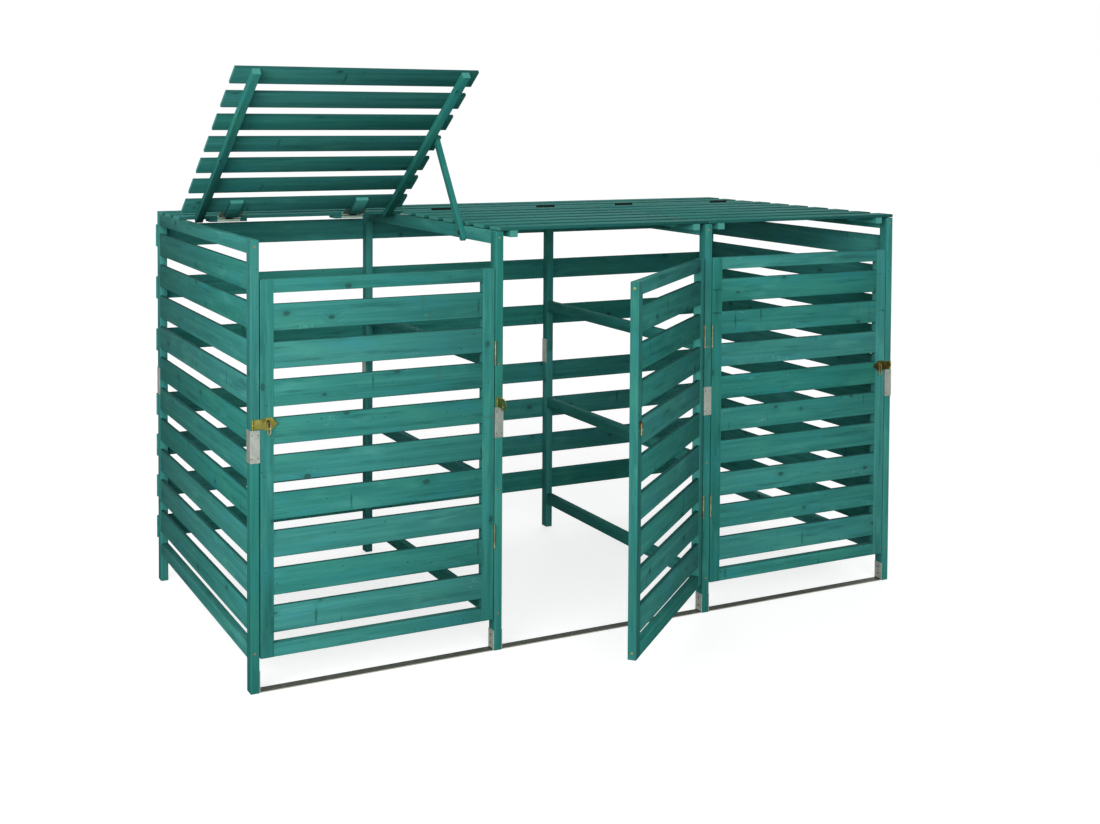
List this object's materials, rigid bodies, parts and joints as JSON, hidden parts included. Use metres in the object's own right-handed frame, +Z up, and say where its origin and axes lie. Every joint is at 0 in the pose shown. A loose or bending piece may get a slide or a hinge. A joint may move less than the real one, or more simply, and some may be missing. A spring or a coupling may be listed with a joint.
{
  "type": "wheelie bin store",
  "caption": "Slatted timber store for wheeled refuse bins, with bays side by side, each with a hinged front door and a lifting lid that a folding stick holds open.",
  "frame": {"origin": "on the ground at the middle of the front, in the middle of the front posts' depth, on the underside of the middle sill", "axes": "+X to the right along the front as seen by someone facing it, +Y towards the rear wall, +Z up"},
  "size_m": [2.251, 1.6205, 1.735],
  "materials": {
    "stained_timber": "translucent teal green stain on planed softwood, grain and knots showing",
    "galvanised": "dull zinc",
    "hinge_steel": "pale passivated steel",
    "hasp_brass": "yellow passivated, satin",
    "sill_steel": "dark olive paint, worn bright at the front edge"
  },
  "bodies": {
    "frame": {"back_boards": "stained_timber", "hasp_base_leaves": "hasp_brass", "partition_rails_left": "stained_timber", "partition_rails_right": "stained_timber", "post_front_1": "stained_timber", "post_front_2": "stained_timber", "post_front_3": "stained_timber", "post_front_4": "stained_timber", "post_hinge_leaves": "hinge_steel", "post_rear_1": "stained_timber", "post_rear_2": "stained_timber", "post_rear_3": "stained_timber", "post_rear_4": "stained_timber", "prop_bolts": "galvanised", "roof_boards": "stained_timber", "roof_hinge_blocks": "stained_timber", "roof_hinge_leaves": "hinge_steel", "side_rails_left": "stained_timber", "side_rails_right": "stained_timber", "side_slats_left": "stained_timber", "side_slats_right": "stained_timber", "sills": "sill_steel", "splice_sleeves_front": "galvanised", "splice_sleeves_rear": "galvanised"},
    "door_left": {"door_left_frame": "stained_timber", "door_left_hinge_leaves": "hinge_steel", "door_left_slats": "stained_timber", "door_left_staple": "hasp_brass"},
    "link_left": {"door_left_link": "hasp_brass"},
    "door_middle": {"door_middle_frame": "stained_timber", "door_middle_hinge_leaves": "hinge_steel", "door_middle_slats": "stained_timber", "door_middle_staple": "hasp_brass"},
    "link_middle": {"door_middle_link": "hasp_brass"},
    "door_right": {"door_right_frame": "stained_timber", "door_right_hinge_leaves": "hinge_steel", "door_right_slats": "stained_timber", "door_right_staple": "hasp_brass"},
    "link_right": {"door_right_link": "hasp_brass"},
    "hasp_left": {"hasp_left": "hasp_brass"},
    "hasp_middle": {"hasp_middle": "hasp_brass"},
    "hasp_right": {"hasp_right": "hasp_brass"},
    "lid_left": {"lid_left_battens": "stained_timber", "lid_left_boards": "stained_timber", "lid_left_hinge_blocks": "stained_timber", "lid_left_hinge_leaves": "hinge_steel"},
    "lid_middle": {"lid_middle_battens": "stained_timber", "lid_middle_boards": "stained_timber", "lid_middle_hinge_blocks": "stained_timber", "lid_middle_hinge_leaves": "hinge_steel"},
    "lid_right": {"lid_right_battens": "stained_timber", "lid_right_boards": "stained_timber", "lid_right_hinge_blocks": "stained_timber", "lid_right_hinge_leaves": "hinge_steel"},
    "prop_left": {"prop_left": "stained_timber"},
    "prop_middle": {"prop_middle": "stained_timber"},
    "prop_right": {"prop_right": "stained_timber"}
  },
  "joints": [
    {"name": "lid_left_hinge", "type": "hinge", "parent": "frame", "child": "lid_left", "pos_m": [-0.74, 0.80104, 1.258], "axis": [-1, 0, 0], "range_deg": [0, 60]},
    {"name": "lid_middle_hinge", "type": "hinge", "parent": "frame", "child": "lid_middle", "pos_m": [0, 0.80104, 1.258], "axis": [-1, 0, 0], "range_deg": [0, 95]},
    {"name": "lid_right_hinge", "type": "hinge", "parent": "frame", "child": "lid_right", "pos_m": [0.74, 0.80104, 1.258], "axis": [-1, 0, 0], "range_deg": [0, 95]},
    {"name": "prop_left_pivot", "type": "hinge", "parent": "frame", "child": "prop_left", "pos_m": [-0.3915, 0.21198, 1.236], "axis": [1, 0, 0], "range_deg": [-54, 0]},
    {"name": "prop_middle_pivot", "type": "hinge", "parent": "frame", "child": "prop_middle", "pos_m": [0.3485, 0.21198, 1.236], "axis": [1, 0, 0], "range_deg": [0, 57]},
    {"name": "prop_right_pivot", "type": "hinge", "parent": "frame", "child": "prop_right", "pos_m": [1.0885, 0.21198, 1.236], "axis": [1, 0, 0], "range_deg": [0, 57]},
    {"name": "door_left_hinge", "type": "hinge", "parent": "frame", "child": "door_left", "pos_m": [-0.384, -0.0224, 0.6205], "axis": [0, 0, 1], "range_deg": [0, 90]},
    {"name": "door_middle_hinge", "type": "hinge", "parent": "frame", "child": "door_middle", "pos_m": [0.356, -0.0224, 0.6205], "axis": [0, 0, 1], "range_deg": [-42, 44]},
    {"name": "door_right_hinge", "type": "hinge", "parent": "frame", "child": "door_right", "pos_m": [0.384, -0.0224, 0.6205], "axis": [0, 0, -1], "range_deg": [0, 86]},
    {"name": "hasp_left_hinge", "type": "hinge", "parent": "frame", "child": "hasp_left", "pos_m": [-1.1175, -0.0221, 0.748], "axis": [0, 0, -1], "range_deg": [0, 160]},
    {"name": "hasp_middle_hinge", "type": "hinge", "parent": "frame", "child": "hasp_middle", "pos_m": [-0.3775, -0.0221, 0.748], "axis": [0, 0, -1], "range_deg": [-93, 0]},
    {"name": "hasp_right_hinge", "type": "hinge", "parent": "frame", "child": "hasp_right", "pos_m": [1.1175, -0.0221, 0.748], "axis": [0, 0, 1], "range_deg": [0, 160]},
    {"name": "link_left_pivot", "type": "hinge", "parent": "door_left", "child": "link_left", "pos_m": [-1.0715, -0.0239, 0.751], "axis": [-1, 0, 0], "range_deg": [0, 100]},
    {"name": "link_middle_pivot", "type": "hinge", "parent": "door_middle", "child": "link_middle", "pos_m": [-0.15391, -0.48354, 0.751], "axis": [-0.7431, -0.6691, 0], "range_deg": [0, 100]},
    {"name": "link_right_pivot", "type": "hinge", "parent": "door_right", "child": "link_right", "pos_m": [1.0715, -0.0239, 0.751], "axis": [-1, 0, 0], "range_deg": [0, 100]}
  ],
  "couplings": [
    {"joint": "prop_left_pivot", "follows": "lid_left_hinge", "ratio": -0.9},
    {"joint": "prop_middle_pivot", "follows": "lid_middle_hinge", "ratio": 0.6},
    {"joint": "prop_right_pivot", "follows": "lid_right_hinge", "ratio": 0.6}
  ]
}
